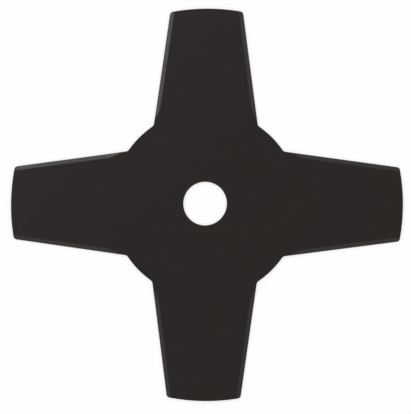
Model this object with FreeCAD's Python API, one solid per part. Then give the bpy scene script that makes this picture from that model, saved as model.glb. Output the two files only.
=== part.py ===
import FreeCAD, Part
import math
import os

# Four-arm grass blade for a brush trimmer, stamped as one plate from hardened sheet steel.
# Millimetres. +Z runs up the arbor, the origin is on its axis at the lower face, and one arm points along +X.

# Stamped plate
tip_circle_diameter = 228.6
arbor_bore_diameter = 25.4
hub_disc_diameter = 109.5
plate_thickness = 1.6

# Arms. Each width is the one between an arm's two side lines, where they cross the circle that it names.
arm_count = 4
arm_width_at_hub_disc = 60.9
arm_width_at_tip_circle = 42.75
root_fillet_radius = 2.4
tip_corner_radius = 2.2

# Cutting edges, ground on both faces along both sides of each arm, so that the blade can be turned over
cutting_edge_angle = 30.0
cutting_edge_land = 0.3
grinding_wheel_radius = 60.0
unground_length_at_root = 4.0

# Sheared edges, with the burr taken off
outline_edge_break = 0.2
bore_edge_break = 0.25

# Worked out from the sizes above
hub_disc_radius = hub_disc_diameter / 2
tip_circle_radius = tip_circle_diameter / 2
bore_radius = arbor_bore_diameter / 2
arm_pitch = 360.0 / arm_count
tool_overrun = plate_thickness
flat_enough = plate_thickness / 100

origin = FreeCAD.Vector(0, 0, 0)
up = FreeCAD.Vector(0, 0, 1)
across = FreeCAD.Vector(0, 1, 0)


def side_line_on_circle(width, radius):
    # Where the +Y side line of the arm along +X crosses a circle round the arbor
    half = width / 2
    return FreeCAD.Vector(math.sqrt(radius**2 - half**2), half, 0)


side_at_hub = side_line_on_circle(arm_width_at_hub_disc, hub_disc_radius)
side_at_tip = side_line_on_circle(arm_width_at_tip_circle, tip_circle_radius)


def half_width_at(x):
    slope = (side_at_tip.y - side_at_hub.y) / (side_at_tip.x - side_at_hub.x)
    return side_at_hub.y + slope * (x - side_at_hub.x)


def turned_to_each_arm(shape):
    copies = []
    for index in range(arm_count):
        copy = shape.copy()
        copy.rotate(origin, up, index * arm_pitch)
        copies.append(copy)
    return copies


def arm():
    # A tapered strip from the arbor's axis to just past the tip circle
    reach = tip_circle_radius + tool_overrun
    inner, outer = half_width_at(0), half_width_at(reach)
    corners = [(0, -inner), (reach, -outer), (reach, outer), (0, inner), (0, -inner)]
    outline = Part.makePolygon([FreeCAD.Vector(x, y, 0) for x, y in corners])
    return Part.Face(outline).extrude(up * plate_thickness)


def is_upright(edge):
    box = edge.BoundBox
    return box.ZLength > flat_enough and max(box.XLength, box.YLength) < flat_enough


def is_on_a_face(edge):
    return edge.BoundBox.ZLength < flat_enough


def distance_from_axis(edge):
    middle = edge.CenterOfMass
    return math.hypot(middle.x, middle.y)


def with_corners_rounded(plate):
    # The hollow corners beside the hub disc first, then the corners of the tips
    middle_of_arm = (hub_disc_radius + tip_circle_radius) / 2
    roots = [edge for edge in plate.Edges if is_upright(edge) and distance_from_axis(edge) < middle_of_arm]
    plate = plate.makeFillet(root_fillet_radius, roots)
    tips = [edge for edge in plate.Edges if is_upright(edge) and distance_from_axis(edge) > middle_of_arm]
    return plate.makeFillet(tip_corner_radius, tips)


def punched_plate():
    # Hub disc and arms in one, trimmed to the tip circle, with the bore punched last
    hub_disc = Part.makeCylinder(hub_disc_radius, plate_thickness)
    tip_circle = Part.makeCylinder(tip_circle_radius, plate_thickness)
    tip_circle.rotate(origin, up, arm_pitch / 2)
    plate = hub_disc.multiFuse(turned_to_each_arm(arm())).common(tip_circle).removeSplitter()
    return with_corners_rounded(plate).cut(Part.makeCylinder(bore_radius, plate_thickness))


def is_bore_rim(edge):
    return is_on_a_face(edge) and distance_from_axis(edge) < bore_radius


def with_edges_broken(plate):
    outline = [edge for edge in plate.Edges if is_on_a_face(edge) and not is_bore_rim(edge)]
    plate = plate.makeChamfer(outline_edge_break, outline)
    return plate.makeChamfer(bore_edge_break, [edge for edge in plate.Edges if is_bore_rim(edge)])


def grinding_cut():
    # What the wheel takes off the upper face, along the +Y side of the arm along +X.
    # The wheel comes in over the tip and lifts off near the root, where its round rim leaves a run-out.
    bevel_tilt = math.radians(cutting_edge_angle / 2)
    depth_at_edge = (plate_thickness - cutting_edge_land) / 2
    depth_square_to_bevel = depth_at_edge * math.cos(bevel_tilt)
    bevel_width = depth_at_edge / math.sin(bevel_tilt)

    side = side_at_hub - side_at_tip
    along = FreeCAD.Vector(side).normalize()
    outward = up.cross(along) * -1
    inward_on_bevel = outward * -math.cos(bevel_tilt) + up * math.sin(bevel_tilt)
    off_bevel = outward * math.sin(bevel_tilt) + up * math.cos(bevel_tilt)

    # The rim leaves the plate at the clear angle, and the tool's profile follows it as far again
    clear_angle = math.acos(1 - depth_square_to_bevel / grinding_wheel_radius)
    run_out_length = grinding_wheel_radius * math.sin(clear_angle)
    lift_start = side.Length - unground_length_at_root - run_out_length
    edge_at_tip = side_at_tip + up * ((plate_thickness + cutting_edge_land) / 2)
    profile_origin = edge_at_tip - inward_on_bevel * tool_overrun

    def profile_point(distance, lift):
        return profile_origin + along * distance + off_bevel * lift

    def on_rim(angle):
        lift = grinding_wheel_radius * (1 - math.cos(angle))
        return profile_point(lift_start + grinding_wheel_radius * math.sin(angle), lift)

    rim_start, rim_middle, rim_end = on_rim(0), on_rim(clear_angle), on_rim(2 * clear_angle)
    tip_end = profile_point(-bevel_width - tool_overrun, 0)
    tip_end_top = tip_end + off_bevel * (rim_end - rim_start).dot(off_bevel)
    profile = Part.Wire([
        Part.makeLine(tip_end, rim_start),
        Part.Arc(rim_start, rim_middle, rim_end).toShape(),
        Part.makeLine(rim_end, tip_end_top),
        Part.makeLine(tip_end_top, tip_end),
    ])
    return Part.Face(profile).extrude(inward_on_bevel * (bevel_width + 2 * tool_overrun))


def all_grinding_cuts():
    # Both sides of every arm, on both faces
    left = grinding_cut()
    upper = [left, left.mirror(origin, across)]
    mid_plane = up * (plate_thickness / 2)
    lower = [cut.mirror(mid_plane, up) for cut in upper]
    return [copy for cut in upper + lower for copy in turned_to_each_arm(cut)]


def trimmer_blade():
    return with_edges_broken(punched_plate()).cut(all_grinding_cuts())


def main():
    os.makedirs("parts", exist_ok=True)
    for name, make in {"trimmer_blade": trimmer_blade}.items():
        shape = make()
        shape.exportStep(f"parts/{name}.step")
        box = shape.optimalBoundingBox(True, False)
        print(name, "solids", len(shape.Solids), "valid", shape.isValid(), "volume", round(shape.Volume, 1))
        print("size", round(box.XLength, 3), round(box.YLength, 3), round(box.ZLength, 3))


main()
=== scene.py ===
import math

import bpy
from mathutils import Matrix, Vector

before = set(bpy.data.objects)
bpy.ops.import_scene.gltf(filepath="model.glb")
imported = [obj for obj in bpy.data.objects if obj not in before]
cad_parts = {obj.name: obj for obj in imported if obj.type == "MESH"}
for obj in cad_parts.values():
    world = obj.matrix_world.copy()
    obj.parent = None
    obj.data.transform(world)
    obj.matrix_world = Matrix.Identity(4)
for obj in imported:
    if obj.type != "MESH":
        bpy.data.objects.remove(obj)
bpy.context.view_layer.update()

# Four-arm grass blade of a brush trimmer, lying flat on a pale floor and seen from above.
# Metres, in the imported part's own frame: the bore's axis is Z, the lower face is at Z = 0
# and one arm points along +X.


def linearColour(hexCode):
    # sRGB hex to the linear colour that a shader takes
    channels = [int(hexCode[start:start + 2], 16) / 255 for start in (1, 3, 5)]
    return [c / 12.92 if c <= 0.04045 else ((c + 0.055) / 1.055) ** 2.4 for c in channels] + [1]


def perMetre(millimetres):
    # A pattern's scale, for marks that lie this far apart
    return 1000 / millimetres


def addNode(tree, kind, inputs, **settings):
    # One shader node: its settings, then a value or a link for each input named or numbered
    node = tree.nodes.new(kind)
    for name, value in settings.items():
        setattr(node, name, value)
    for name, value in inputs.items():
        if isinstance(value, bpy.types.NodeSocket):
            tree.links.new(value, node.inputs[name])
        else:
            node.inputs[name].default_value = value
    return node


def newMaterial(name):
    material = bpy.data.materials.new(name)
    material.use_nodes = True
    material.node_tree.nodes.clear()
    return material, material.node_tree


def lookAt(position, target, imageUp):
    # A lamp or camera's rotation, with imageUp towards the top of its picture
    back = (Vector(position) - Vector(target)).normalized()
    right = Vector(imageUp).cross(back).normalized()
    return Matrix((right, back.cross(right), back)).transposed()


# Cathodic dip coat, satin black, baked on sheet steel that was punched and ground first: an even warm
# black that a lamp turns to grey sheen. The film is thin, so the steel's rolling grain and the grinding
# marks show through it. Tone 0 is thick film, black and dull, and tone 1 is thin film, greyer and shinier.
# Spacings and lengths are in mm, heights in metres, and detail is the noise's octaves.
dipCoat = {
    "thickFilm": "#171210",
    "thinFilm": "#292321",
    "thickRoughness": 0.44,
    "thinRoughness": 0.30,
    "ior": 1.45,  # epoxy is about 1.5
    "middleTone": 0.5,
    "cloudSpacing": 34,  # where the film dried thicker and thinner
    "cloudDetail": 4.0,
    "cloudTone": 1.2,
    "peelSpacing": 2.0,  # about 0.6 on the film, drawn coarser so that it shows
    "peelDetail": 3.0,
    "peelTone": 0.8,
    "peelHeight": 3.5e-5,
}

# Rolling grain on both faces, along the sheet's X
rolling = {
    "thinning": 0.0,
    "lineSpacing": 1.2,  # about 0.3 on the sheet, drawn coarser so that it shows
    "lineLength": 40,
    "detail": 4.0,
    "tone": 1.6,
    "height": 2.5e-5,
}

# Bevels that a wheel ground across the edge: marks run from the edge inwards, and the film draws
# thinner over them
grinding = {
    "bevelAngle": 15,  # degrees from the face
    "angleTolerance": 10.5,
    "thinning": 0.2,
    "lineSpacing": 1.5,  # about 0.2 for the grit, drawn coarser so that it shows
    "lineLength": 14,
    "detail": 3.0,
    "tone": 1.6,
    "height": 7.0e-5,
}

# Sheared walls: upright tears that the punch left
shearing = {
    "leastLean": 75,  # degrees between a wall's normal and straight up, at the least
    "thinning": 0.0,
    "lineSpacing": 1.2,  # about 0.3 on the wall, drawn coarser so that it shows
    "lineLength": 8,
    "detail": 3.0,
    "tone": 1.2,
    "height": 7.0e-5,
}


def coatedSteelMaterial():
    material, tree = newMaterial("black_dip_coated_steel")
    place = addNode(tree, "ShaderNodeTexCoord", {}).outputs["Object"]
    facing = addNode(tree, "ShaderNodeNewGeometry", {}).outputs["True Normal"]

    # How far the surface leans: 0 on the faces, the bevel's angle on the bevels, a quarter turn on the walls
    upright = addNode(tree, "ShaderNodeMath", {
        0: addNode(tree, "ShaderNodeSeparateXYZ", {0: facing}).outputs["Z"],
    }, operation="ABSOLUTE").outputs[0]
    lean = addNode(tree, "ShaderNodeMath", {0: upright}, operation="ARCCOSINE").outputs[0]
    onBevel = addNode(tree, "ShaderNodeMath", {
        0: lean,
        1: math.radians(grinding["bevelAngle"]),
        2: math.radians(grinding["angleTolerance"]),
    }, operation="COMPARE").outputs[0]
    onWall = addNode(tree, "ShaderNodeMath", {
        0: lean, 1: math.radians(shearing["leastLean"]),
    }, operation="GREATER_THAN").outputs[0]

    def byZone(faceValue, bevelValue, wallValue):
        offWall = addNode(tree, "ShaderNodeMix", {
            "Factor": onBevel, "A": faceValue, "B": bevelValue,
        }, data_type="FLOAT").outputs["Result"]
        return addNode(tree, "ShaderNodeMix", {
            "Factor": onWall, "A": offWall, "B": wallValue,
        }, data_type="FLOAT").outputs["Result"]

    def stretchedNoise(spacings, detail):
        # Noise whose marks lie this many mm apart along X, Y and Z
        squeezed = addNode(tree, "ShaderNodeMapping", {
            "Vector": place, "Scale": [perMetre(spacing) for spacing in spacings],
        })
        return addNode(tree, "ShaderNodeTexNoise", {
            "Vector": squeezed.outputs[0], "Scale": 1.0, "Detail": detail,
        }).outputs[0]

    def linesAlong(axes, steel):
        # The steel's marks, drawn out along these axes and close together across them
        lengths = [steel["lineLength"] if axis in axes else steel["lineSpacing"] for axis in "XYZ"]
        return stretchedNoise(lengths, steel["detail"])

    def toned(pattern, spread, middle, base):
        # base plus the pattern, spread about a middle value
        raised = addNode(tree, "ShaderNodeMath", {
            0: pattern, 1: spread, 2: middle - spread / 2,
        }, operation="MULTIPLY_ADD")
        return addNode(tree, "ShaderNodeMath", {0: raised.outputs[0], 1: base}, operation="ADD").outputs[0]

    cloud = stretchedNoise([dipCoat["cloudSpacing"]] * 3, dipCoat["cloudDetail"])
    peel = stretchedNoise([dipCoat["peelSpacing"]] * 3, dipCoat["peelDetail"])
    grain = linesAlong("XZ", rolling)
    tears = linesAlong("Z", shearing)

    # Grinding marks cross each arm's edge: along Y on the left and right arms, along X on the other two
    offset = addNode(tree, "ShaderNodeSeparateXYZ", {0: place}).outputs
    onSideArm = addNode(tree, "ShaderNodeMath", {
        0: addNode(tree, "ShaderNodeMath", {0: offset["X"]}, operation="ABSOLUTE").outputs[0],
        1: addNode(tree, "ShaderNodeMath", {0: offset["Y"]}, operation="ABSOLUTE").outputs[0],
    }, operation="GREATER_THAN").outputs[0]
    marks = addNode(tree, "ShaderNodeMix", {
        "Factor": onSideArm, "A": linesAlong("XZ", grinding), "B": linesAlong("YZ", grinding),
    }, data_type="FLOAT").outputs["Result"]

    peelTone = toned(peel, dipCoat["peelTone"], dipCoat["middleTone"], 0.0)
    filmTone = toned(cloud, dipCoat["cloudTone"], 0.0, peelTone)
    filmHeight = addNode(tree, "ShaderNodeMath", {
        0: peel, 1: dipCoat["peelHeight"],
    }, operation="MULTIPLY").outputs[0]
    tones = []
    heights = []
    for pattern, steel in ((grain, rolling), (marks, grinding), (tears, shearing)):
        tones.append(toned(pattern, steel["tone"], steel["thinning"], filmTone))
        heights.append(addNode(tree, "ShaderNodeMath", {
            0: pattern, 1: steel["height"], 2: filmHeight,
        }, operation="MULTIPLY_ADD").outputs[0])
    tone = byZone(*tones)
    colour = addNode(tree, "ShaderNodeMix", {
        "Factor": tone,
        "A": linearColour(dipCoat["thickFilm"]),
        "B": linearColour(dipCoat["thinFilm"]),
    }, data_type="RGBA").outputs["Result"]
    roughness = addNode(tree, "ShaderNodeMapRange", {
        "Value": tone, "To Min": dipCoat["thickRoughness"], "To Max": dipCoat["thinRoughness"],
    }).outputs[0]
    relief = addNode(tree, "ShaderNodeBump", {
        "Height": byZone(*heights), "Strength": 1.0, "Distance": 1.0,  # the heights as they are, in metres
    }).outputs[0]
    surface = addNode(tree, "ShaderNodeBsdfPrincipled", {
        "Base Color": colour,
        "Metallic": 0.0,
        "Roughness": roughness,
        "IOR": dipCoat["ior"],
        "Normal": relief,
    }).outputs[0]
    addNode(tree, "ShaderNodeOutputMaterial", {"Surface": surface})
    return material


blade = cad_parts["trimmer_blade"]
for materialSlot in blade.material_slots:
    materialSlot.material = coatedSteelMaterial()
print("blade coated")


# Studio sweep of matt white paper: a round floor that turns up at its rim. It gives the eye an even white
# with the blade's faint shadow on it.
sweep = {
    "colour": "#fdfdfd",
    "floorRadius": 5.0,
    "cornerRadius": 1.2,
    "roundSteps": 96,
    "cornerSteps": 16,
    "glowShare": 0.7,  # under and round the blade, where its shadow falls; all white further out
    "shadowReach": 0.2,  # metres from the middle of the floor
    "whiteBeyond": 0.8,
    "lift": 2e-5,  # over the blade's lower face: in one plane, the two would flicker when seen from below
}


def sweepMaterial():
    material, tree = newMaterial("matt_white_paper")
    # It glows white to the camera, to reflections and through glass, and is plain paper to all other light
    rays = addNode(tree, "ShaderNodeLightPath", {}).outputs
    seenOrMirrored = addNode(tree, "ShaderNodeMath", {
        0: rays["Is Camera Ray"], 1: rays["Is Glossy Ray"],
    }, operation="MAXIMUM").outputs[0]
    seen = addNode(tree, "ShaderNodeMath", {
        0: seenOrMirrored, 1: rays["Is Transmission Ray"],
    }, operation="MAXIMUM").outputs[0]
    distance = addNode(tree, "ShaderNodeVectorMath", {
        0: addNode(tree, "ShaderNodeTexCoord", {}).outputs["Object"],
    }, operation="LENGTH").outputs["Value"]
    glow = addNode(tree, "ShaderNodeMapRange", {
        "Value": distance,
        "From Min": sweep["shadowReach"],
        "From Max": sweep["whiteBeyond"],
        "To Min": sweep["glowShare"],
        "To Max": 1.0,
    }, interpolation_type="SMOOTHSTEP").outputs[0]
    share = addNode(tree, "ShaderNodeMath", {0: seen, 1: glow}, operation="MULTIPLY").outputs[0]
    paper = addNode(tree, "ShaderNodeBsdfDiffuse", {"Color": linearColour(sweep["colour"])}).outputs[0]
    white = addNode(tree, "ShaderNodeEmission", {"Color": (1, 1, 1, 1), "Strength": 1.0}).outputs[0]
    shown = addNode(tree, "ShaderNodeMixShader", {0: share, 1: paper, 2: white}).outputs[0]
    addNode(tree, "ShaderNodeOutputMaterial", {"Surface": shown})
    return material


def studioSweep():
    # Radius and height of each ring, from the flat floor's edge up to the rim
    profile = [(sweep["floorRadius"], 0.0)]
    for step in range(1, sweep["cornerSteps"] + 1):
        turn = math.pi / 2 * step / sweep["cornerSteps"]
        radius = sweep["floorRadius"] + sweep["cornerRadius"] * math.sin(turn)
        profile.append((radius, sweep["cornerRadius"] * (1 - math.cos(turn))))
    points = [(0, 0, 0)]
    for radius, height in profile:
        for step in range(sweep["roundSteps"]):
            angle = 2 * math.pi * step / sweep["roundSteps"]
            points.append((radius * math.cos(angle), radius * math.sin(angle), height))
    faces = []
    for step in range(sweep["roundSteps"]):
        after = (step + 1) % sweep["roundSteps"]
        faces.append((0, 1 + step, 1 + after))
        for ring in range(len(profile) - 1):
            inner = 1 + ring * sweep["roundSteps"]
            outer = inner + sweep["roundSteps"]
            faces.append((inner + step, outer + step, outer + after, inner + after))
    mesh = bpy.data.meshes.new("studio_sweep")
    mesh.from_pydata(points, [], faces)
    mesh.shade_smooth()
    mesh.materials.append(sweepMaterial())
    floor = bpy.data.objects.new("studio_sweep", mesh)
    floor.location.z = sweep["lift"]
    bpy.context.scene.collection.objects.link(floor)


studioSweep()
print("sweep made")


# The room is dark straight overhead, where a flat plate seen from above mirrors it, and dim near the
# horizon, where a low view's glare comes from. Angles are in degrees from straight up.
room = {
    "overhead": 0.08,
    "sides": 1.23,
    "horizonShare": 0.1,  # of the light from the sides
    "darkWithin": 26,
    "brightBeyond": 45,
    "dimBeyond": 50,
    "dimmestBeyond": 66,
}


def studioRoom():
    world = bpy.data.worlds.new("studio_room")
    world.use_nodes = True
    tree = world.node_tree
    tree.nodes.clear()
    direction = addNode(tree, "ShaderNodeTexCoord", {}).outputs["Generated"]
    # The same above and below the floor, so that the underside is lit when it is looked at
    upright = addNode(tree, "ShaderNodeMath", {
        0: addNode(tree, "ShaderNodeSeparateXYZ", {0: direction}).outputs["Z"],
    }, operation="ABSOLUTE").outputs[0]
    brightening = addNode(tree, "ShaderNodeMapRange", {
        "Value": upright,
        "From Min": math.cos(math.radians(room["darkWithin"])),
        "From Max": math.cos(math.radians(room["brightBeyond"])),
        "To Min": room["overhead"],
        "To Max": room["sides"],
    }, interpolation_type="SMOOTHSTEP").outputs[0]
    dimming = addNode(tree, "ShaderNodeMapRange", {
        "Value": upright,
        "From Min": math.cos(math.radians(room["dimBeyond"])),
        "From Max": math.cos(math.radians(room["dimmestBeyond"])),
        "To Min": 1.0,
        "To Max": room["horizonShare"],
    }, interpolation_type="SMOOTHSTEP").outputs[0]
    strength = addNode(tree, "ShaderNodeMath", {
        0: brightening, 1: dimming,
    }, operation="MULTIPLY").outputs[0]
    walls = addNode(tree, "ShaderNodeBackground", {"Color": (1, 1, 1, 1), "Strength": strength}).outputs[0]
    addNode(tree, "ShaderNodeOutputWorld", {"Surface": walls})
    bpy.context.scene.world = world


# Wide soft lamps half way up the sides, turned towards the bore
lamps = {
    "key": {"at": (-1.10, 1.10, 1.56), "width": 2.4, "height": 0.95, "power": 17.5},
    "fill": {"at": (1.65, 0.30, 1.40), "width": 1.6, "height": 1.0, "power": 10.5},
    "front": {"at": (-0.10, -1.70, 1.40), "width": 1.6, "height": 1.0, "power": 9.5},
}


def studioLamps():
    for name, lamp in lamps.items():
        light = bpy.data.lights.new(name, "AREA")
        light.shape = "RECTANGLE"
        light.energy = lamp["power"]
        light.size = lamp["width"]
        light.size_y = lamp["height"]
        item = bpy.data.objects.new(name, light)
        turn = lookAt(lamp["at"], (0, 0, 0), (0, 0, 1))
        item.matrix_world = Matrix.Translation(lamp["at"]) @ turn.to_4x4()
        item.visible_camera = False
        bpy.context.scene.collection.objects.link(item)


studioRoom()
studioLamps()
print("lamps set")


# Camera: 0.8 m above the blade and 5 degrees off its axis, over the gap between two arms
cameraView = {
    "at": (0.05672, -0.03981, 0.79700),
    "aim": (0.00026, -0.00200, 0.00080),
    "imageUp": (0, 1, 0),
    "roll": 0.4515,  # degrees
    "lens": 119.41,  # mm, as is the sensor
    "sensor": 36,
}


def photoCamera():
    camera = bpy.data.cameras.new("photo_camera")
    camera.sensor_width = cameraView["sensor"]
    camera.lens = cameraView["lens"]
    item = bpy.data.objects.new("photo_camera", camera)
    level = lookAt(cameraView["at"], cameraView["aim"], cameraView["imageUp"])
    turn = level @ Matrix.Rotation(math.radians(cameraView["roll"]), 3, "Z")
    item.matrix_world = Matrix.Translation(cameraView["at"]) @ turn.to_4x4()
    bpy.context.scene.collection.objects.link(item)
    bpy.context.scene.camera = item


photoCamera()
bpy.context.scene.view_settings.view_transform = "Standard"
print("camera set")
